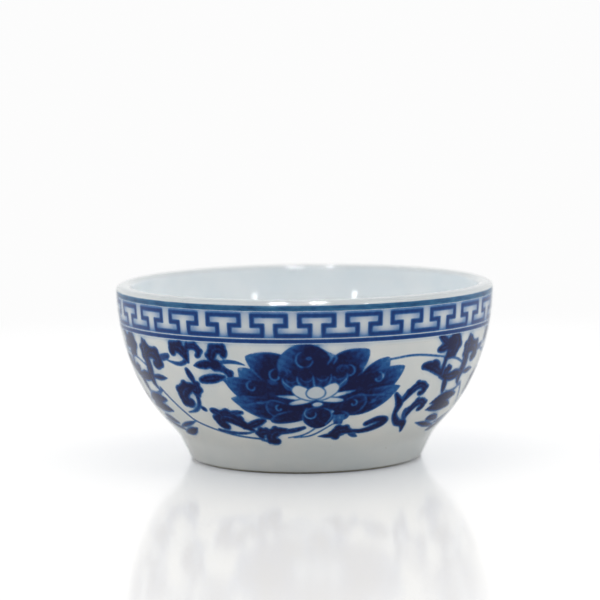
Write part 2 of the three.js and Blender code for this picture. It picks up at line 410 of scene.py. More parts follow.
def paint_pale_strokes(sheet):
    """Soft pale strokes in the dark petals."""
    strokes = ((-9.5, 7.2, 2.2, 0.8, -40), (-6, 8.6, 1.6, 0.7, -60), (9, 6.4, 1.6, 0.6, 50),
               (12.5, 9, 2.6, 0.5, 14), (-12.6, 12.4, 2, 0.5, -10), (11.5, 14.6, 2.4, 0.5, 20))
    for x, y, length, half, heading in strokes:
        sheet.reserve(in_flower(curl((x, y), heading, length, (20, 0))), (0.1, half, 0.1), left=0.74)


def paint_calyx(sheet):
    """The short square-cut calyx that the main stem comes out of."""
    corners = [(3.2, 16.6), (6.4, 16.6), (5.8, 19.2), (3.9, 19.2)]
    outline = curve([corner for corner in corners for _ in range(2)], closed=True)
    sheet.petal(in_flower(outline), *in_flower([(4.8, 17.2), (4.8, 21)]), light=0.48, reach=1)


def paint_pod(sheet):
    """The seed pod: a domed petal over a ribbed cup, and a small curled petal on each side."""
    dome = petal_outline((-1.9, 8.2), (-1.9, -0.3), 5.3, blunt=0.62)
    sheet.petal(in_flower(dome), *in_flower([(-5.4, 1.2), (0, 4.6)]), light=0.55, reach=0.6)
    sheet.reserve(in_flower(spiral((-1.7, 3.4), 1.9, 0.66, 110, 0.75)), (0.08, 0.2, 0.12), left=0.4)
    sheet.reserve(in_flower(oval(-1, 3.1, 0.42, 0.24)), 0.1, left=0.4)
    for points in ([(2, 1.4), (3.4, 2.9), (2.6, 4.6)], [(3.2, 2.2), (4.3, 3.3), (3.8, 4.6)]):
        sheet.stroke(in_flower(curve(points)), (0.1, 0.26, 0.14), ink=0.42, rim=0.42, over=True)
    paint_pod_cup(sheet, rim=6.4, foot=4.8, top=5.4, low=10.2)
    for side in (-1, 1):
        x = -0.2 + 5.7 * side
        small_petal = in_flower(oval(x, 6, 1.35, 1.15))
        sheet.petal(small_petal, *in_flower([(x, 4.8), (x, 7.4)]), light=0.85, reach=0.8, rim=0.66)
        sheet.reserve(in_flower(spiral((x, 6), 0.7, 0.6 * side, 90, 0.5)), (0.05, 0.12, 0.05), left=0.72)


def paint_pod_cup(sheet, rim, foot, top, low):
    """The pod's cup, with ribs and a scalloped edge. `rim` and `foot` are half widths."""
    right = [(rim, top), (rim + 0.4, 7.2), (foot + 0.7, low - 0.4)]
    left = [(-x, y) for x, y in right[::-1]]
    outline = [left[-1], (0, top - 0.5)] + right + [(0, low + 0.4)] + left[:-1]
    sheet.petal(in_flower(curve(outline, closed=True)), *in_flower([(0, low - 1.6), (0, top + 1)]), 0.82, 0.8)
    for share in (-1, -0.55, -0.05, 0.5, 1):
        rib = curve([(share * rim, top + 1.4), (share * rim * 0.98, top + 2.6), (share * foot, low - 0.7)])
        sheet.reserve(in_flower(rib), (0.08, 0.19, 0.14), left=0.36)
    for share in (-0.72, -0.26, 0.24, 0.76):
        scallop = arc((share * rim, top + 1.5), 1.25, math.radians(160), math.radians(20), 9)
        sheet.reserve(in_flower(scallop), 0.09, left=0.55)


def paint_white_lotus(sheet):
    """A small lotus of bare glaze in the middle of the flower."""
    heart = (0, 12.3)
    for tip_x, tip_y, half, blunt in ((8.3, 11, 0.62, 0.8), (5.8, 13.1, 0.66, 0.4), (4.7, 9.3, 1.4, 0.36)):
        for side in (-1, 1):
            paint_white_petal(sheet, heart, (side * tip_x, tip_y), half, blunt, line=0.14, ink=0.66)
    paint_white_petal(sheet, heart, (0, 9.2), 2, 0.6, line=0.14, ink=0.66)
    paint_white_petal(sheet, (-1, 13.6), (1.4, 13.6), 0.62, 0.5, line=0.12, ink=0.6)


def paint_white_petal(sheet, base, tip, half, blunt, line, ink):
    """A petal of bare glaze with a thin blue line round it."""
    outline = in_flower(petal_outline(base, tip, half, blunt=blunt))
    sheet.area(outline, ink=LOTUS_HAZE, rim=LOTUS_HAZE, over=True)
    sheet.stroke(np.concatenate([outline, outline[:1]]), line, ink=ink, rim=0.5)


def paint_rolled_petal(sheet):
    """The rolled petal under the white lotus."""
    outline = in_flower(petal_outline((0.2, 14.1), (0, 20), 3.5, blunt=0.6))
    sheet.petal(outline, *in_flower([(-3, 15), (1, 18)]), light=0.66, reach=0.5)
    sheet.reserve(in_flower(spiral((-1.1, 15.9), 1.8, 0.7, 120, 0.45)), (0.08, 0.22, 0.12), left=0.3)
    edge = curve([(1.6, 14.6), (3, 15.6), (3.2, 17.2), (2, 19)])
    sheet.reserve(in_flower(edge), (0.06, 0.2, 0.14), left=0.3)


def scroll(sheet, at, heading, length, bends, half=0.9, ink=1):
    """A scroll leaf: thin at its stalk, swelling to a round end, with a pale vein. A tight one has bumps."""
    line = curl(at, heading, length, bends, 22)
    widths = np.array([0.35, 0.7, 0.95, 1, 0.92, 0.68]) * half
    sheet.stroke(line, widths, ink=ink)
    if abs(bends[1]) > TIGHT:
        outwards = 1 if bends[1] > 0 else -1
        for share, bump in ((0.36, 0.5), (0.58, 0.62), (0.8, 0.5)):
            i = int(share * len(line))
            along = line[i + 1] - line[i - 1]
            across = np.array([-along[1], along[0]]) / np.hypot(*along)
            back = line[i] + 0.55 * outwards * half * across
            sheet.area(oval(*back, bump * half + 0.2, bump * half + 0.2), ink=0.95 * ink)
    vein = line[5:-4]
    sheet.reserve(vein, (0.03, 0.12, 0.05), left=0.62)


def blade(sheet, at, heading, length, half=0.8, bend=0, ink=1):
    """A plain pointed leaf."""
    widths = np.array([0.3, 0.8, 1, 0.75, 0.12]) * half
    sheet.stroke(curl(at, heading, length, (bend, bend), 12), widths, ink=ink)


def tendril(sheet, at, heading, length, bends, half=0.3, ink=0.85):
    """A thin line that tapers to nothing."""
    sheet.stroke(curl(at, heading, length, bends, 20), (half, half, half * 0.8, half * 0.3), ink=ink)


def paint_stems(sheet):
    """Thin stems with scroll leaves, spray by spray from the left."""
    paint_main_stem(sheet)
    paint_left_sprays(sheet)
    paint_sprays_by_flower(sheet)
    paint_sprays_under_flower(sheet)
    paint_right_sprays(sheet)


def paint_left_sprays(sheet):
    # At the seam between two repeats
    column = curve([(-38.8, 3.4), (-38, 6.8), (-38.6, 10.2), (-37.4, 12.2)])
    sheet.stroke(column, (0.9, 1.5, 1.4, 0.4), ink=0.92)
    scroll(sheet, (-38.8, 4.4), 80, 3.4, (0, 0), 0.8)
    scroll(sheet, (-37.6, 6.6), 130, 6.4, (-10, -88), 1.3)
    scroll(sheet, (-38.2, 9.8), 158, 5.2, (6, 30), 1.2)
    tendril(sheet, (-36.4, 12), 222, 6.4, (-12, -6), 0.5, ink=0.6)
    blade(sheet, (-38, 9.2), 2, 5.8, 0.85)
    # Far left
    scroll(sheet, (-38.2, 5.2), 52, 7.6, (-14, -78), 1.6)
    scroll(sheet, (-33.8, 4.4), -2, 3.8, (6, 12), 0.85, ink=0.8)
    blade(sheet, (-38.6, 22.4), 17, 10, 0.75, ink=0.9)
    blade(sheet, (-38.6, 24.2), 10, 8.6, 1.25, bend=2)
    # Upper left
    scroll(sheet, (-24.8, 4.6), 104, 6.2, (8, 80), 1.45)
    scroll(sheet, (-25.6, 2.8), 60, 6.2, (-16, -79), 0.95)
    tendril(sheet, (-24.6, 2.8), 264, 7.4, (-24, 12), 0.6)


def paint_sprays_by_flower(sheet):
    # Left of the flower
    sheet.area(oval(-18.2, 5, 1.7, 1.5))
    scroll(sheet, (-18.6, 5.2), 112, 6.6, (-14, -80), 1.35)
    scroll(sheet, (-18.6, 6.2), 24, 6, (-18, -89), 0.85)
    scroll(sheet, (-16.6, 7.4), 194, 5.8, (-2, 6), 1.2)
    blade(sheet, (-17.8, 4.6), 188, 5.8, 1.15)
    tendril(sheet, (-17.6, 4.4), 14, 5.8, (-6, -8), 0.5)
    # Middle left
    scroll(sheet, (-24.2, 9.6), 114, 3.4, (0, 0), 0.9)
    scroll(sheet, (-25, 8.6), -44, 4.4, (-12, -112), 1.05)
    scroll(sheet, (-24.2, 10.2), 186, 8.6, (4, 72), 1.8)
    tendril(sheet, (-25.6, 11), -50, 9.4, (-20, 2), 0.66)
    sheet.area(oval(-24.3, 15.6, 1, 0.7, -30), ink=0.9)
    # Lower left
    scroll(sheet, (-13, 20.8), 146, 11.6, (-3, 66), 1.85)
    scroll(sheet, (-19.4, 17.6), 136, 3.2, (4, 30), 1.2, ink=0.9)
    scroll(sheet, (-19.8, 17.2), 20, 5.4, (-2, -4), 0.85, ink=0.9)
    scroll(sheet, (-15.4, 20.4), 24, 6.2, (0, 2), 1.15)
    tendril(sheet, (-22.6, 21.4), -12, 10.6, (2, 8), 0.6)


def paint_sprays_under_flower(sheet):
    scroll(sheet, (-4.6, 20.4), 190, 7.6, (2, 83), 1.6)
    scroll(sheet, (-8.4, 21.6), 158, 4.2, (8, 105), 1.3)
    scroll(sheet, (-9, 21.6), 6, 8.8, (1, 4), 0.8)
    blade(sheet, (-11.8, 24), -2, 4.8, 0.6, ink=0.8)
    scroll(sheet, (11.4, 21.6), 152, 6.2, (6, 86), 1.5)
    blade(sheet, (9.4, 22.2), 183, 6.6, 0.85)
    roll = curve([(9.8, 20.8), (13.6, 21.4), (17.2, 20.3), (19.1, 18.8), (17, 18.3), (14.4, 19.3)])
    sheet.stroke(roll, (0.5, 0.7, 1, 1.2, 1, 0.8))
    blade(sheet, (10.4, 21.9), -24, 3.2, 0.7, ink=0.7)


def paint_right_sprays(sheet):
    # Right of the flower
    stalk = curve([(20, 12.2), (21.5, 14.6), (21.3, 17.4), (23, 19.7), (25.2, 20.4), (26.3, 22.7)])
    sheet.stroke(stalk, (0.6, 1.15, 0.75, 1.05, 1.2, 0.5))
    scroll(sheet, (21.6, 14.8), 50, 9.8, (4, -92), 1.1)
    scroll(sheet, (24.4, 19.4), 72, 9.2, (0, -92), 1.15)
    scroll(sheet, (22, 15), 82, 3.4, (-6, -6), 0.75, ink=0.75)
    scroll(sheet, (25.2, 19.6), 116, 3.4, (0, -20), 0.9, ink=0.75)
    # Upper right
    sheet.area(oval(32.4, 2.2, 2, 1.9))
    scroll(sheet, (31.2, 5), 6, 8, (12, 66), 1.4)
    scroll(sheet, (32.4, 2.8), 142, 4.4, (0, 4), 1)
    scroll(sheet, (32.6, 2.4), 190, 3.6, (0, 0), 1.15)
    sheet.stroke(curve([(32, 4), (31.5, 6.2), (31.2, 8.6)]), (0.8, 0.75, 0.9))
    scroll(sheet, (31.8, 9.2), 140, 7, (2, 18), 1.3)
    sheet.area(oval(28.8, 6.4, 1.7, 1.3, -30), ink=0.95)
    scroll(sheet, (31, 9.2), -10, 7.6, (2, 6), 1.25)
    scroll(sheet, (32.8, 9.4), -58, 3.8, (-6, -6), 1.05)
    scroll(sheet, (32.4, 9.8), 80, 2.9, (-10, -70), 1.05)
    # Beside the seam, right
    blade(sheet, (41, 14.6), 178, 9.8, 1.7, bend=2)
    blade(sheet, (41, 17.4), 168, 10.2, 1.7, bend=2.5)
    scroll(sheet, (39.6, 21), 164, 5.6, (0, 14), 1.2)
    blade(sheet, (40.6, 23.2), 167, 11.2, 0.95)


def paint_main_stem(sheet):
    """The stem that runs from flower to flower under the leaves."""
    down = curve([(-36.6, 11.6), (-31.2, 17.4), (-28.4, 19.7), (-20, 22.5), (-11, 23.6)])
    sheet.stroke(down, (0.34, 0.32, 0.3, 0.34), ink=0.9)
    sheet.stroke(curve([(16.4, 4.1), (23, 3.6), (31.5, 4.8)]), 0.26, ink=0.9)
    sheet.stroke(curve([(32, 4.9), (36, 5.8), (39.6, 7.6)]), 0.3, ink=0.6)
    for start, end in (((5, 17.4), (-4.5, 22.9)), ((6.2, 18.9), (-3, 22.9))):
        middle = (0.4 * start[0] + 0.6 * end[0] + 0.8, 0.35 * start[1] + 0.65 * end[1] + 0.6)
        sheet.stroke(curve([start, middle, end]), (0.2, 0.28, 0.2), ink=0.75)


PRINT_SHIFT = 2.2  # how far the fret is turned from the front
FRET_LINE = 0.98  # width of the fret's line
FRET_STEM = 0.286  # where the stem's line runs, as a share of half a repeat
FRET_INK = 0.88
FRET_RIM_INK = 0.6


def paint_fret(sheet, top, bottom):
    """The T-shaped fret: an endless line that steps between three levels."""
    repeat = TURN * SHEET_RADIUS / FRET_REPEATS
    levels = [top + FRET_LINE / 2, (top + bottom) / 2, bottom - FRET_LINE / 2]
    stem = FRET_STEM * repeat / 2
    bar = repeat / 2 - stem
    down = [(-bar, 0), (bar, 0), (bar, 1), (stem, 1), (stem, 2)]
    up = [(repeat - stem, 2), (repeat - stem, 1), (repeat - bar, 1)]
    first = math.floor(sheet.u.min() / repeat) - 1
    last = math.ceil(sheet.u.max() / repeat) + 1
    path = []
    for i in range(first, last + 1):
        path += [(PRINT_SHIFT + i * repeat + x, levels[level]) for x, level in down + up]
    half = FRET_LINE / 2
    for (ax, ay), (bx, by) in zip(path, path[1:]):
        low = np.array([min(ax, bx) - half, min(ay, by) - half])
        high = np.array([max(ax, bx) + half, max(ay, by) + half])
        window = sheet.window(np.array([low, high]), 1)
        if window:
            u, v = sheet.u[window], sheet.v[window]
            away = np.maximum(np.maximum(low[0] - u, u - high[0]), np.maximum(low[1] - v, v - high[1]))
            sheet.lay(window, away, FRET_INK, FRET_RIM_INK, over=False)


# Meshes
NEAREST = 0.02  # how close a cut may come to a grid point, as a share of the spacing
ON_AXIS = 1e-9  # a point nearer the axis than this is on it
INK_START = 0.07  # ink weaker than this isn't printed


def cells_inside(level):
    """Points and faces of a grid where level is over 0, cut to shape along its edge."""
    inside = level > 0
    points, index, faces = [], {}, []

    def corner(r, c):
        key = (r, c)
        if key not in index:
            index[key] = len(points)
            points.append((float(r), float(c)))
        return index[key]

    def crossing(a, b):
        key = (a, b) if a < b else (b, a)
        if key not in index:
            t = level[a] / (level[a] - level[b])
            t = min(max(t, NEAREST), 1 - NEAREST)
            index[key] = len(points)
            points.append((a[0] + t * (b[0] - a[0]), a[1] + t * (b[1] - a[1])))
        return index[key]

    some = inside[:-1, :-1] | inside[1:, :-1] | inside[:-1, 1:] | inside[1:, 1:]
    for r, c in zip(*np.nonzero(some)):
        around = [(r, c), (r + 1, c), (r + 1, c + 1), (r, c + 1)]
        face = []
        for a, b in zip(around, around[1:] + around[:1]):
            if inside[a]:
                face.append(corner(*a))
            if inside[a] != inside[b]:
                face.append(crossing(a, b))
        faces.append(face)
    return np.array(points), faces


def mesh_object(name, points, faces, flat_faces=()):
    """A smooth-shaded object. Faces in flat_faces stay flat, so that their edges are crisp."""
    mesh = bpy.data.meshes.new(name)
    mesh.from_pydata([tuple(p) for p in points], [], faces)
    smooth_flags = np.ones(len(faces), bool)
    smooth_flags[list(flat_faces)] = False
    mesh.polygons.foreach_set("use_smooth", smooth_flags)
    mesh.validate()
    mesh.update()
    made = bpy.data.objects.new(name, mesh)
    bpy.context.scene.collection.objects.link(made)
    return made


def sample(grid, at):
    """Values of a grid between its points."""
    r, c = at[:, 0], at[:, 1]
    r0 = np.clip(np.floor(r).astype(int), 0, grid.shape[0] - 2)
    c0 = np.clip(np.floor(c).astype(int), 0, grid.shape[1] - 2)
    fr, fc = r - r0, c - c0
    top = grid[r0, c0] * (1 - fc) + grid[r0, c0 + 1] * fc
    low = grid[r0 + 1, c0] * (1 - fc) + grid[r0 + 1, c0 + 1] * fc
    return top * (1 - fr) + low * fr


def print_from(name, sheet, level, turn=0.0):
    """A thin closed solid on the wall where level is over 0. Its points keep the sheet's ink."""
    at, faces = cells_inside(level)
    u, v, ink = (sample(grid, at) for grid in (sheet.u, sheet.v, sheet.ink))
    count = len(at)
    points = np.concatenate([on_wall(u, v, PRINT_PROUD, turn), on_wall(u, v, -PRINT_DEPTH, turn)])
    open_edges = {}
    for face in faces:
        for a, b in zip(face, face[1:] + face[:1]):
            if (b, a) in open_edges:
                del open_edges[(b, a)]
            else:
                open_edges[(a, b)] = True
    walls = [(b, a, a + count, b + count) for a, b in open_edges]
    back = [[k + count for k in reversed(face)] for face in faces]
    solid = faces + back + walls
    made = mesh_object(name, points, solid, flat_faces=range(2 * len(faces), len(solid)))
    attribute = made.data.attributes.new("ink", "FLOAT", "POINT")
    attribute.data.foreach_set("value", np.concatenate([ink, ink]))
    return made


def turned(name, outline):
    """Turns an outline of (radius, height) points round the axis. It closes on itself or ends on the axis."""
    outline = np.array(outline)
    on_axis = outline[:, 0] < ON_AXIS
    points, rings = [], []
    angle = np.linspace(0, TURN, SEGMENTS, endpoint=False)
    for (r, z), centre in zip(outline, on_axis):
        start = len(points)
        if centre:
            points.append((0, 0, z * MM))
            rings.append([start] * SEGMENTS)
        else:
            points.extend(zip(r * np.sin(angle) * MM, -r * np.cos(angle) * MM, [z * MM] * SEGMENTS))
            rings.append(list(range(start, start + SEGMENTS)))
    faces = []
    pairs = list(zip(rings, rings[1:]))
    if not (on_axis[0] and on_axis[-1]):
        pairs.append((rings[-1], rings[0]))
    for low, high in pairs:
        for i in range(SEGMENTS):
            j = (i + 1) % SEGMENTS
            face = [low[i], low[j], high[j], high[i]]
            faces.append(list(dict.fromkeys(face)))  # a point on the axis is only named once
    return mesh_object(name, points, faces)


def glazed_line():
    """The glazed face from the bare foot, over the lip, to the middle of the floor."""
    shoulder = HEIGHT - LIP_RISE
    outside = [(float(wall_radius(z)), z) for z in np.linspace(BARE_EDGE, shoulder, WALL_POINTS)]
    half_circle = arc((0, 0), 1, 0, math.pi, LIP_POINTS)[1:-1]
    crown = [(RIM_RADIUS - LIP / 2 * (1 - x), shoulder + LIP_RISE * y) for x, y in half_circle]
    radius, depth = RIM_RADIUS - LIP, shoulder - FLOOR_TOP
    t = np.linspace(0, math.pi / 2, HOLLOW_POINTS)
    power = 2 / HOLLOW_POWER
    inside = [(radius * math.cos(a) ** power, shoulder - depth * math.sin(a) ** power) for a in t[:-1]]
    return outside + crown + inside + [(0, FLOOR_TOP)]


def foot_hollow_line():
    """The glazed face under the foot, from its middle to the bare ring."""
    corner = FOOT_HOLLOW_RADIUS - FOOT_HOLLOW_TAPER * FOOT_HOLLOW_DEPTH
    centre = (corner - FOOT_HOLLOW_FILLET, FOOT_HOLLOW_DEPTH - FOOT_HOLLOW_FILLET)
    flat = [(r, FOOT_HOLLOW_DEPTH) for r in np.linspace(0, centre[0], FOOT_POINTS)[:-1]]
    fillet = arc(centre, FOOT_HOLLOW_FILLET, math.pi / 2, 0.0, FOOT_POINTS)
    down = np.linspace(centre[1], BARE_EDGE, FOOT_SIDE_POINTS)[1:]
    side = [(FOOT_HOLLOW_RADIUS - FOOT_HOLLOW_TAPER * z, z) for z in down]
    return flat + fillet + side


def to_the_left(line, distance):
    """The line moved to its left. An end on the axis stays on it."""
    line = np.array(line)
    along = np.gradient(line, axis=0)
    along /= np.hypot(along[:, 0], along[:, 1])[:, None]
    on_axis = line[:, 0] < ON_AXIS
    along[on_axis] = np.stack([np.sign(along[on_axis, 0]), np.zeros(on_axis.sum())], axis=1)
    return [tuple(p) for p in line + distance * np.stack([-along[:, 1], along[:, 0]], axis=1)]


def clay_body():
    depth = GLAZE + LAYER_GAP
    hollow = to_the_left(foot_hollow_line(), depth)
    wall = to_the_left(glazed_line(), depth)
    inner = hollow[-1][0]
    outer = float(wall_radius(0)) - depth
    ring = [(inner + FOOT_CHAMFER, 0), (outer - FOOT_CHAMFER, 0)]
    return turned("body", hollow + ring + wall)


def glaze_coat():
    face = glazed_line()
    return turned("glaze", to_the_left(face, GLAZE)[::-1] + face)


def foot_glaze():
    face = foot_hollow_line()
    return turned("foot_glaze", face + to_the_left(face, GLAZE)[::-1])


# Materials
def srgb(r, g, b):
    """A colour given as 11 to 255, as the linear values that Blender wants."""
    return tuple(((c / 255 + 0.055) / 1.055) ** 2.4 for c in (r, g, b)) + (1.0,)


class Nodes:
    """Short calls for building a material's or a world's nodes."""

    def __init__(self, owner):
        owner.use_nodes = True
        self.owner = owner
        self.tree = owner.node_tree
        self.tree.nodes.clear()
        self.coordinates = self.add("ShaderNodeTexCoord").outputs
        self.place = self.coordinates["Object"]

    def add(self, kind, inputs=(), **settings):
        """A new node. Each input is a value or another node's output."""
        node = self.tree.nodes.new(kind)
        for key, value in settings.items():
            setattr(node, key, value)
        for key, value in dict(inputs).items():
            if isinstance(value, bpy.types.NodeSocket):
                self.tree.links.new(value, node.inputs[key])
            else:
                node.inputs[key].default_value = value
        return node

    def noise(self, size, detail=3.0, rough=0.5, stretch=(1, 1, 1)):
        """Noise whose blobs are about `size` millimetres across."""
        scale = self.add("ShaderNodeVectorMath", {0: self.place, 1: stretch}, operation="MULTIPLY").outputs[0]
        inputs = {"Vector": scale, "Scale": 1 / (size * MM), "Detail": detail, "Roughness": rough}
        return self.add("ShaderNodeTexNoise", inputs).outputs["Fac"]

    def range(self, value, low, high, to_low=0.0, to_high=1.0):
        inputs = {"Value": value, "From Min": low, "From Max": high, "To Min": to_low, "To Max": to_high}
        return self.add("ShaderNodeMapRange", inputs).outputs[0]

    def bump(self, height, strength, depth, inputs=()):
        """Bumps of a depth in millimetres."""
        inputs = {"Height": height, "Strength": strength, "Distance": depth * MM, **dict(inputs)}
        return self.add("ShaderNodeBump", inputs).outputs[0]

    def math(self, operation, a, b):
        return self.add("ShaderNodeMath", {0: a, 1: b}, operation=operation).outputs[0]

    def mix(self, factor, a, b):
        """Mixes two colours, which are the node's inputs 6 and 7 and output 2."""
        return self.add("ShaderNodeMix", {0: factor, 6: a, 7: b}, data_type="RGBA").outputs[2]

    def mix_shaders(self, factor, a, b):
        return self.add("ShaderNodeMixShader", {0: factor, 1: a, 2: b}).outputs[0]

    def emission(self, colour, strength=1.0):
        return self.add("ShaderNodeEmission", {"Color": colour, "Strength": strength}).outputs[0]

    def ramp(self, factor, stops):
        node = self.add("ShaderNodeValToRGB", {"Fac": factor})
        ramp = node.color_ramp
        ramp.elements[0].position, ramp.elements[0].color = stops[0]
        ramp.elements[1].position, ramp.elements[1].color = stops[-1]
        for position, colour in stops[1:-1]:
            ramp.elements.new(position).color = colour
        return node.outputs["Color"]

    def finish(self, shader, output="ShaderNodeOutputMaterial"):
        self.add(output, {"Surface": shader})
        return self.owner


def material_nodes(name):
    return Nodes(bpy.data.materials.new(name))


WHITE = srgb(240, 244, 246)
WHITE_THICK = srgb(232, 239, 243)  # where the glaze has pooled
LIP_PAINTED_SHADE = srgb(198, 204, 207)  # painted shade: a greyer white on the lip's crown, so that the crown looks no brighter than the inside of the cup
LIP_SHADE_FADE = (0.9, 0.3)  # how far below the top the lip's painted shade starts and is full
IRON_SPECK = srgb(150, 140, 120)
SPECK_STRENGTH = 0.35
CLAY_DARK = srgb(150, 136, 92)
CLAY_LIGHT = srgb(190, 176, 130)
CLAY_GRIT = srgb(108, 96, 70)
GRIT_STRENGTH = 0.5
GLAZE_IOR = 1.5
GLAZE_ROUGHNESS = 0.07
THROUGH = 0.12  # how translucent the white glaze and its clay are
THROUGH_DEPTH = (0.9 * MM, 1.0 * MM, 1.1 * MM)  # for red, green and blue
FULL_COBALT = 0.3  # ink from this strength on hides the white


def white_glaze(nodes):
    """Bare glaze: a cool white, a little uneven, with rare pale specks, and painted shade on the lip's crown.
    """
    uneven = nodes.range(nodes.noise(9, 3), 0.35, 0.65)
    white = nodes.mix(uneven, WHITE, WHITE_THICK)
    height = nodes.add("ShaderNodeSeparateXYZ", {0: nodes.place}).outputs["Z"]
    # painted shade: the lip's crown is greyed towards its top
    crown = nodes.range(height, (HEIGHT - LIP_SHADE_FADE[0]) * MM, (HEIGHT - LIP_SHADE_FADE[1]) * MM)
    white = nodes.mix(crown, white, LIP_PAINTED_SHADE)
    speck = nodes.range(nodes.noise(0.55, 1), 0.775, 0.8)
    return nodes.mix(nodes.math("MULTIPLY", speck, SPECK_STRENGTH), white, IRON_SPECK)


def glassy(nodes, colour, through):
    """Fired glaze: a clear glossy skin with faint ripples, over a more or less translucent ground."""
    ripple = nodes.bump(nodes.noise(6, 2), 0.12, 0.05)
    fine = nodes.bump(nodes.noise(0.5, 2), 0.1, 0.006, {"Normal": ripple})
    gloss = nodes.range(nodes.noise(3, 2), 0.3, 0.7, 0.7 * GLAZE_ROUGHNESS, 1.3 * GLAZE_ROUGHNESS)
    shader = nodes.add("ShaderNodeBsdfPrincipled", {
        "Base Color": colour,
        "Roughness": gloss,
        "IOR": GLAZE_IOR,
        "Subsurface Weight": through,
        "Subsurface Radius": THROUGH_DEPTH,
        "Subsurface Scale": 1.0,
        "Normal": fine,
    })
    return nodes.finish(shader.outputs[0])


def glaze_material():
    nodes = material_nodes("porcelain_glaze")
    return glassy(nodes, white_glaze(nodes), THROUGH)


def cobalt_material(name, stops, mottle, blob, stretch=(1, 1, 1)):
    """Cobalt under the glaze. The ink attribute picks the blue, and noise makes it pool unevenly."""
    nodes = material_nodes(name)
    ink = nodes.add("ShaderNodeAttribute", attribute_name="ink").outputs["Fac"]
    grain = nodes.range(nodes.noise(blob, 4, 0.6, stretch), 0.3, 0.7, -mottle, mottle)
    pool = nodes.range(nodes.noise(4, 2), 0.3, 0.7, -mottle / 2, mottle / 2)
    held = nodes.range(ink, INK_START, 0.35)  # keeps the faint haze even
    uneven = nodes.math("MULTIPLY", nodes.math("ADD", grain, pool), held)
    strength = nodes.math("ADD", ink, uneven)
    blues = nodes.ramp(strength, [(at, srgb(*colour)) for at, colour in stops])
    cover = nodes.range(ink, INK_START, FULL_COBALT)
    return glassy(nodes, nodes.mix(cover, white_glaze(nodes), blues), through=0.0)


def clay_material():
    nodes = material_nodes("bare_clay")
    tone = nodes.range(nodes.noise(1.1, 5, 0.65), 0.3, 0.7)
    colour = nodes.mix(tone, CLAY_DARK, CLAY_LIGHT)
    grit = nodes.range(nodes.noise(0.18, 2), 0.66, 0.72)
    colour = nodes.mix(nodes.math("MULTIPLY", grit, GRIT_STRENGTH), colour, CLAY_GRIT)
    grain = nodes.bump(nodes.noise(0.16, 4), 0.6, 0.03)
    inputs = {"Base Color": colour, "Roughness": 0.85, "Normal": grain}
    return nodes.finish(nodes.add("ShaderNodeBsdfPrincipled", inputs).outputs[0])


# Blues by ink strength
LOTUS_BLUES = [(0.0, (204, 216, 230)), (0.25, (116, 156, 200)), (0.45, (50, 108, 174)),
               (0.65, (34, 78, 146)), (0.85, (24, 48, 108)), (1.0, (24, 30, 76))]
FRET_BLUES = [(0.0, (204, 216, 230)), (0.25, (104, 148, 202)), (0.5, (48, 96, 164)),
              (0.7, (36, 70, 136)), (0.9, (32, 58, 116)), (1.0, (28, 46, 98))]
RIM_BLUES = [(0.0, (196, 212, 222)), (0.3, (100, 150, 188)), (0.55, (62, 118, 164)),
             (0.8, (46, 94, 142)), (1.0, (36, 72, 118))]


# Cup
RIM_LINE_INK = 0.8
FRET_HAZE = 0.62  # strength of the haze between the fret's lines
FRET_STEP = 0.13  # spacing of the points on the fret's sheet
LINE_STEP = 0.1  # the same for a plain line
LINE_STEP_ALONG = 0.6
RING_MARGIN = 0.5  # how far a ring's sheet reaches past the band on it
SCROLL_TOP = -0.6  # where the lotus scroll's sheet starts and ends
SCROLL_BOTTOM = 25.6
FLOWER_EDGE = 0.25  # ink stronger than this is the flower's
EDGE_BLUR = 0.12  # how far a line's blurred edge reaches past it


def down_the_wall(z):
    """Where a height on the wall is on the sheet."""
    return float(np.interp(-z, -ARC_Z, ARC_RUN))


def ring_sheet(top, bottom, step, step_along):
    """A sheet that goes all the way round the cup."""
    return Sheet(TURN * SHEET_RADIUS, top - RING_MARGIN, bottom + RING_MARGIN, step, step_along)


def paint_repeat():
    """One repeat of the decoration: a grid that is over 0 inside the flower, and the inked sheet."""
    share = TURN * SHEET_RADIUS / REPEATS
    inked = Sheet(share, SCROLL_TOP, SCROLL_BOTTOM, STEP, STEP)
    stems = Sheet(share, SCROLL_TOP, SCROLL_BOTTOM, STEP, STEP)
    paint_flower(inked)
    petals = inked.ink - FLOWER_EDGE
    paint_white_lotus(inked)
    paint_stems(stems)
    inked.ink = np.where(petals > 0, inked.ink, np.maximum(inked.ink, stems.ink))
    inked.soften(1)
    inked.haze(EDGE_BLUR)
    return petals, inked


def fret_border():
    """The fret, with a haze that fills the band between the two lines."""
    top, bottom = down_the_wall(FRET[1]), down_the_wall(FRET[0])
    sheet = ring_sheet(top, bottom, FRET_STEP, FRET_STEP)
    paint_fret(sheet, top, bottom)
    sheet.soften(2)
    haze_top = down_the_wall(RIM_LINE[0]) + EDGE_BLUR
    haze_bottom = down_the_wall(BORDER_LINE[1]) - EDGE_BLUR
    sheet.haze(haze_top, haze_bottom, FRET_HAZE)
    return print_from("fret_border", sheet, sheet.ink - INK_START)


def printed_line(name, span, ink):
    bottom, top = (down_the_wall(z) for z in span)
    sheet = ring_sheet(top, bottom, LINE_STEP, LINE_STEP_ALONG)
    away = np.abs(sheet.v - (top + bottom) / 2) - (bottom - top) / 2
    sheet.lay(np.s_[:, :], away, ink, FRET_RIM_INK, over=False)
    return print_from(name, sheet, sheet.ink - INK_START)


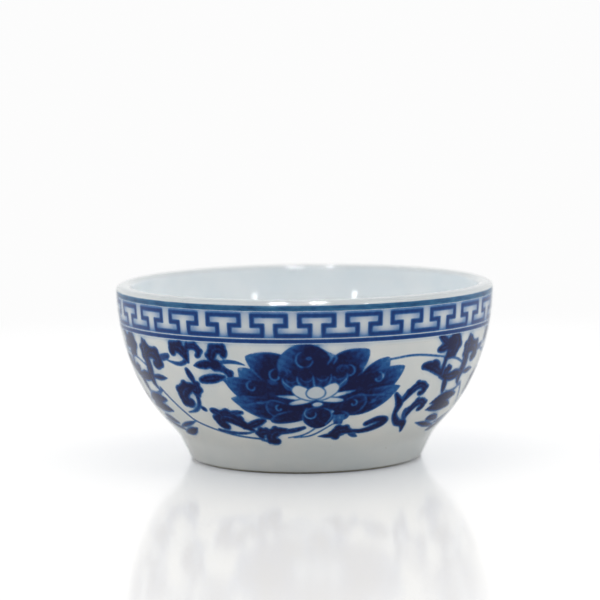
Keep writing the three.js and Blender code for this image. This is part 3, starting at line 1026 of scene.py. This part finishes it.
def build_cup(pieces):
    """Makes the pieces, and links them to the collection."""
    glaze = glaze_material()
    clay = clay_material()
    lotus_blue = cobalt_material("lotus_cobalt", LOTUS_BLUES, 0.1, 0.8)
    stem_blue = cobalt_material("stem_cobalt", LOTUS_BLUES, 0.12, 0.6)
    fret_blue = cobalt_material("fret_cobalt", FRET_BLUES, 0.07, 0.8)
    rim_blue = cobalt_material("rim_cobalt", RIM_BLUES, 0.2, 0.8, (0.3, 0.3, 1.2))

    def fit(piece, material, slot, *nodes):
        pieces.objects.link(piece)
        piece.data.materials.append(material)
        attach(piece, "root")
        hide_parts(*nodes)

    fit(clay_body(), clay, "fired_clay", "porcelain_body")
    fit(glaze_coat(), glaze, "white_glaze", "glaze_coat")
    fit(foot_glaze(), glaze, "foot_glaze", "base_glaze")
    fit(fret_border(), fret_blue, "fret_blue", "fret_border_print")
    fit(printed_line("border_line", BORDER_LINE, FRET_INK), fret_blue, "fret_blue", "border_line_print")
    fit(printed_line("rim_line", RIM_LINE, RIM_LINE_INK), rim_blue, "rim_blue", "rim_line_print")

    petals, inked = paint_repeat()
    some_ink = inked.ink - INK_START
    lotus = np.minimum(some_ink, petals)
    sprays = np.minimum(some_ink, -petals)
    for i, side in enumerate(("front", "right", "left")):
        turn = i * TURN / REPEATS
        flower = print_from(f"lotus_flower_{side}", inked, lotus, turn)
        stems = print_from(f"leafy_stems_{side}", inked, sprays, turn)
        fit(flower, lotus_blue, "lotus_blue", f"lotus_flower_print_{side}")
        fit(stems, stem_blue, "stem_blue", f"leafy_stem_print_{side}")


# Studio
CAMERA_DISTANCE = 562.5
CAMERA_ELEVATION = 7.56
CAMERA_ROLL = 0.67
CAMERA_AIM = 18.0  # height on the cup's axis that the camera looks at
LENS = 157.8
SENSOR = 36.0
SHIFT_X = -0.0091
SHIFT_Y = 0.1196
FOCUS = 528.0  # sharp at the cup's front, a little soft at its sides and back
APERTURE = 17.5

# Floor
FLOOR_REACH = 3.0  # metres
FLOOR_TONE = (0.86, 0.82, 0.75, 1)
FLOOR_GLOW = (0.14, 0.16, 0.2, 1)  # the camera sees the floor this much brighter than the cup does
FLOOR_FADE = (0.13, 0.28)  # metres from the cup where it starts to fade and is gone
MIRRORED_FLOOR = (0.165, 0.165, 0.165, 1)  # as the glaze mirrors it, in front of the cup
MIRRORED_FLOOR_FAR = (0.6375, 0.6525, 0.66, 1)  # and behind it

# Brightness of the room, as it lights the cup and as the glaze mirrors it
ROOM_FRONT = (0.11, 0.135, 0.16, 1)
MIRRORED_FRONT = (0.05, 0.07, 0.095, 1)
ROOM_TOP = (1.22, 1.21, 1.18, 1)
ROOM_BACK = (1.0, 1.0, 1.0, 1)
BACKDROP = 0.975  # what the camera sees behind the cup
BACK_FADE = (-0.55, 0.35)  # from dark front to bright back, by how far backwards a direction points
TOP_FADE = (0.5, 0.9)  # from walls to ceiling, by how far up it points

# Lamps: how bright each one looks (1 is the white backdrop), and its size in metres
LAMP_DISTANCE = 0.6
BOX_GLOW = 1.25
BOX_SIZE = (0.3, 0.42)
STRIP_GLOW = 14.0
STRIP_SIZE = (0.03, 0.18)
PANEL_GLOW = 450.0
PANEL_DEPTH = 0.035


def add_camera(scene):
    """A camera at the photo's angle."""
    camera = bpy.data.objects.new("camera", bpy.data.cameras.new("camera"))
    scene.collection.objects.link(camera)
    tilt = math.radians(CAMERA_ELEVATION)
    away = CAMERA_DISTANCE * MM
    camera.location = (0, -away * math.cos(tilt), CAMERA_AIM * MM + away * math.sin(tilt))
    camera.rotation_euler = (math.pi / 2 - tilt, 0, 0)
    camera.rotation_euler.rotate_axis("Z", -math.radians(CAMERA_ROLL))
    camera.data.lens = LENS
    camera.data.sensor_width = SENSOR
    camera.data.shift_x = SHIFT_X
    camera.data.shift_y = SHIFT_Y
    camera.data.dof.use_dof = True
    camera.data.dof.focus_distance = FOCUS * MM
    camera.data.dof.aperture_fstop = APERTURE
    scene.camera = camera


def add_floor(scene):
    floor = bpy.data.objects.new("floor", bpy.data.meshes.new("floor"))
    corners = [(x * FLOOR_REACH, y * FLOOR_REACH, 0) for x, y in ((-1, -1), (1, -1), (1, 1), (-1, 1))]
    floor.data.from_pydata(corners, [], [(0, 1, 2, 3)])
    scene.collection.objects.link(floor)
    floor.data.materials.append(floor_material())


def floor_material():
    """A pale, softly polished table top that fades into the backdrop."""
    nodes = material_nodes("pale_floor")
    smear = nodes.range(nodes.noise(60, 2), 0.3, 0.7, 0.1, 0.14)
    inputs = {"Base Color": FLOOR_TONE, "Roughness": smear, "IOR": 1.45}
    polished = nodes.add("ShaderNodeBsdfPrincipled", inputs).outputs[0]
    brighter = nodes.add("ShaderNodeAddShader", {0: polished, 1: nodes.emission(FLOOR_GLOW)}).outputs[0]
    distance = nodes.add("ShaderNodeVectorMath", {0: nodes.place}, operation="LENGTH").outputs["Value"]
    fade = nodes.range(distance, *FLOOR_FADE)
    seen = nodes.mix_shaders(fade, brighter, nodes.emission((1, 1, 1, 1), BACKDROP))
    heading = nodes.add("ShaderNodeVectorMath", {0: nodes.place}, operation="NORMALIZE").outputs[0]
    to_back = nodes.add("ShaderNodeSeparateXYZ", {0: heading}).outputs["Y"]
    mirrored = nodes.emission(nodes.mix(nodes.range(to_back, *BACK_FADE), MIRRORED_FLOOR, MIRRORED_FLOOR_FAR))
    ray = nodes.add("ShaderNodeLightPath").outputs
    unseen = nodes.mix_shaders(ray["Is Glossy Ray"], polished, mirrored)
    return nodes.finish(nodes.mix_shaders(ray["Is Camera Ray"], unseen, seen))


def studio_world():
    """A white backdrop behind and beside the cup, a bright ceiling, and a dark room in front."""
    nodes = Nodes(bpy.data.worlds.new("studio"))
    direction = nodes.add("ShaderNodeSeparateXYZ", {0: nodes.coordinates["Generated"]}).outputs
    back = nodes.range(direction["Y"], *BACK_FADE)
    up = nodes.range(direction["Z"], *TOP_FADE)
    ray = nodes.add("ShaderNodeLightPath").outputs
    front = nodes.mix(ray["Is Glossy Ray"], ROOM_FRONT, MIRRORED_FRONT)
    room = nodes.mix(up, nodes.mix(back, front, ROOM_BACK), ROOM_TOP)
    lit = nodes.add("ShaderNodeBackground", {"Color": room}).outputs[0]
    plain = nodes.add("ShaderNodeBackground", {"Color": (BACKDROP, BACKDROP, BACKDROP, 1)}).outputs[0]
    return nodes.finish(nodes.mix_shaders(ray["Is Camera Ray"], lit, plain), "ShaderNodeOutputWorld")


def soft_box(name, azimuth, elevation, size, glow, mirrored_in=None):
    """A lamp that points at the cup. With `mirrored_in`, it only shows as a highlight in those pieces."""
    a, e = math.radians(azimuth), math.radians(elevation)
    place = Vector((math.cos(e) * math.sin(a), -math.cos(e) * math.cos(a), math.sin(e))) * LAMP_DISTANCE
    light = bpy.data.lights.new(name, "AREA")
    light.shape = "RECTANGLE"
    light.size, light.size_y = size
    light.energy = glow * math.pi * size[0] * size[1]
    lamp = bpy.data.objects.new(name, light)
    lamp.location = place
    to_cup = Vector((0, 0, CAMERA_AIM * MM)) - place
    lamp.rotation_euler = to_cup.to_track_quat("-Z", "Y").to_euler()
    lamp.visible_camera = False
    if mirrored_in:
        lamp.visible_diffuse = False
        lamp.light_linking.receiver_collection = mirrored_in
    bpy.context.scene.collection.objects.link(lamp)


def build_studio(pieces):
    scene = bpy.context.scene
    scene.view_settings.view_transform = "Standard"
    add_camera(scene)
    add_floor(scene)
    scene.world = studio_world()
    for side in (-1, 1):
        soft_box("big_soft_box", 54 * side, 38, BOX_SIZE, BOX_GLOW)
        soft_box("strip", 36 * side, 8, STRIP_SIZE, STRIP_GLOW, pieces)
    for azimuth, width in ((-29, 0.07), (16, 0.086)):
        soft_box("ceiling_panel", azimuth, 70, (width, PANEL_DEPTH), PANEL_GLOW, pieces)


cup_pieces = bpy.data.collections.new("cup_pieces")
build_cup(cup_pieces)
build_studio(cup_pieces)
